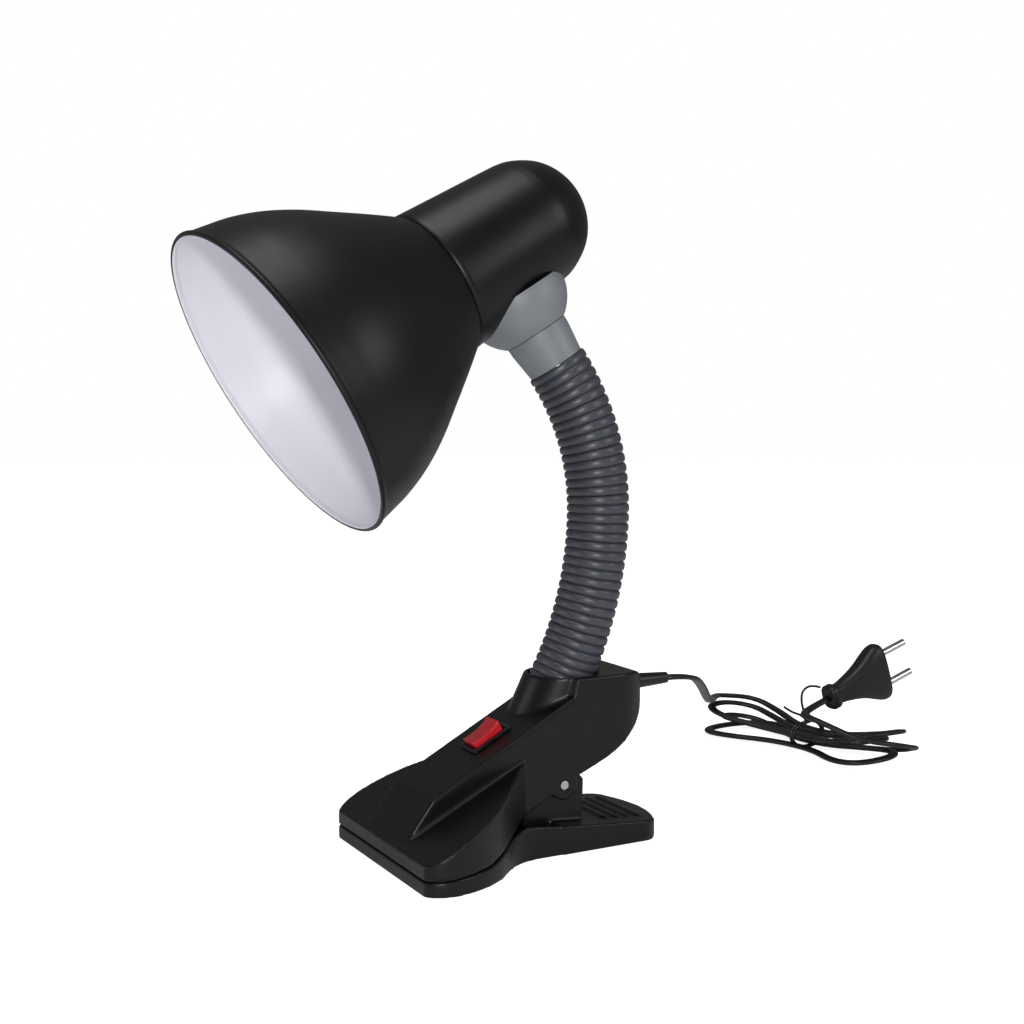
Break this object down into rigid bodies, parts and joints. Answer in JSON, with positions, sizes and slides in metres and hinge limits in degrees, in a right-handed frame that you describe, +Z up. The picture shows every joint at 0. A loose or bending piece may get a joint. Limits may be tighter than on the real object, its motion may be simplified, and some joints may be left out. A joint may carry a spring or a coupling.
{
  "type": "clip-on reading lamp",
  "caption": "Clip-on reading lamp: spring clamp that also stands on its own, ribbed gooseneck, swivelling bell shade with a screw lamp holder, rocker switch and a corded plug.",
  "frame": {"origin": "middle of the clamp's flat underside", "axes": "+Z up; -Y is the way the jaws and the shade point; +X to the right of someone behind the lamp facing that way"},
  "size_m": [0.2065, 0.4457, 0.3123],
  "materials": {
    "black_enamel": "satin black stoved paint",
    "black_gloss": "smooth satin-gloss black plastic",
    "clamp_black": "moulded black plastic with a soft sheen",
    "grip_rubber": "soft black rubber",
    "steel": "bright drawn steel",
    "brass": "plain brass",
    "switch_red": "glossy red plastic",
    "switch_black": "glossy black plastic",
    "sleeve_grey": "dark slate grey ribbed vinyl",
    "joint_grey": "mid grey moulded plastic",
    "holder_white": "white lamp-holder plastic and white enamel",
    "cord_black": "flat two-core cord in black vinyl",
    "pin_nickel": "nickel plated brass pins"
  },
  "bodies": {
    "clip_body": {"upper_jaw": "clamp_black", "jaw_cover": "clamp_black", "cover_screws": "steel", "upper_grip": "grip_rubber", "hinge_pin": "steel", "jaw_spring": "steel", "rocker_body": "switch_black", "switch_tabs": "brass", "neck_nut": "steel", "neck_sleeve_0": "sleeve_grey", "neck_core_0": "steel", "cord_grommet": "cord_black", "cord": "cord_black", "cord_hank": "cord_black", "cord_tie": "switch_black", "plug_lead": "cord_black", "plug_body": "cord_black", "plug_pins": "pin_nickel"},
    "lower_jaw": {"lower_jaw": "clamp_black", "lower_grip": "grip_rubber"},
    "rocker": {"rocker_button": "switch_red"},
    "neck_1": {"neck_sleeve_1": "sleeve_grey", "neck_core_1": "steel"},
    "neck_2": {"neck_sleeve_2": "sleeve_grey", "neck_core_2": "steel"},
    "neck_3": {"neck_sleeve_3": "sleeve_grey", "neck_core_3": "steel"},
    "neck_4": {"neck_sleeve_4": "sleeve_grey", "neck_core_4": "steel"},
    "neck_5": {"neck_sleeve_5": "sleeve_grey", "neck_core_5": "steel"},
    "neck_6": {"neck_sleeve_6": "sleeve_grey", "neck_core_6": "steel"},
    "neck_end": {"neck_sleeve_7": "sleeve_grey", "neck_core_7": "steel", "collar": "joint_grey"},
    "head": {"knuckle": "joint_grey", "swivel_tube": "steel", "swivel_nut": "steel", "housing": "black_gloss", "shade": "black_enamel", "holder_ring": "holder_white", "holder_shell": "holder_white", "screw_shell": "brass", "holder_base": "holder_white", "centre_contact": "brass", "terminal_screws": "brass"}
  },
  "joints": [
    {"name": "jaw_hinge", "type": "hinge", "parent": "clip_body", "child": "lower_jaw", "pos_m": [0, 0.015, 0.03], "axis": [1, 0, 0], "range_deg": [0, 25], "stiffness_Nm_per_rad": 2.3, "springref_deg": -28.65, "deforming": ["jaw_spring"]},
    {"name": "rocker_hinge", "type": "hinge", "parent": "clip_body", "child": "rocker", "pos_m": [0, -0.0148, 0.05103], "axis": [1, 0, 0], "range_deg": [-16, 0]},
    {"name": "neck_fore_1", "type": "hinge", "parent": "clip_body", "child": "neck_1", "pos_m": [0.00147, 0.02963, 0.08783], "axis": [0.9272, -0.3746, 0], "range_deg": [-14, 8]},
    {"name": "neck_side_1", "type": "hinge", "parent": "neck_1", "child": "neck_2", "pos_m": [0.0038, 0.03539, 0.10804], "axis": [0.3635, 0.8997, -0.2415], "range_deg": [-14, 14]},
    {"name": "neck_fore_2", "type": "hinge", "parent": "neck_2", "child": "neck_3", "pos_m": [0.00529, 0.03909, 0.12881], "axis": [0.9272, -0.3746, 0], "range_deg": [-14, 8]},
    {"name": "neck_side_2", "type": "hinge", "parent": "neck_3", "child": "neck_4", "pos_m": [0.00593, 0.04068, 0.14989], "axis": [0.3745, 0.9268, -0.0269], "range_deg": [-14, 14]},
    {"name": "neck_fore_3", "type": "hinge", "parent": "neck_4", "child": "neck_5", "pos_m": [0.00548, 0.03955, 0.17099], "axis": [0.9272, -0.3746, 0], "range_deg": [-14, 8]},
    {"name": "neck_side_3", "type": "hinge", "parent": "neck_5", "child": "neck_6", "pos_m": [0.00367, 0.03507, 0.19157], "axis": [0.3559, 0.8808, 0.3122], "range_deg": [-14, 14]},
    {"name": "neck_fore_4", "type": "hinge", "parent": "neck_6", "child": "neck_end", "pos_m": [0.00055, 0.02737, 0.211], "axis": [0.9272, -0.3746, 0], "range_deg": [-14, 8]},
    {"name": "head_swivel", "type": "hinge", "parent": "neck_end", "child": "head", "pos_m": [-0.01374, -0.00801, 0.27036], "axis": [-0.2046, -0.5063, 0.8377], "range_deg": [-150, 150]}
  ]
}
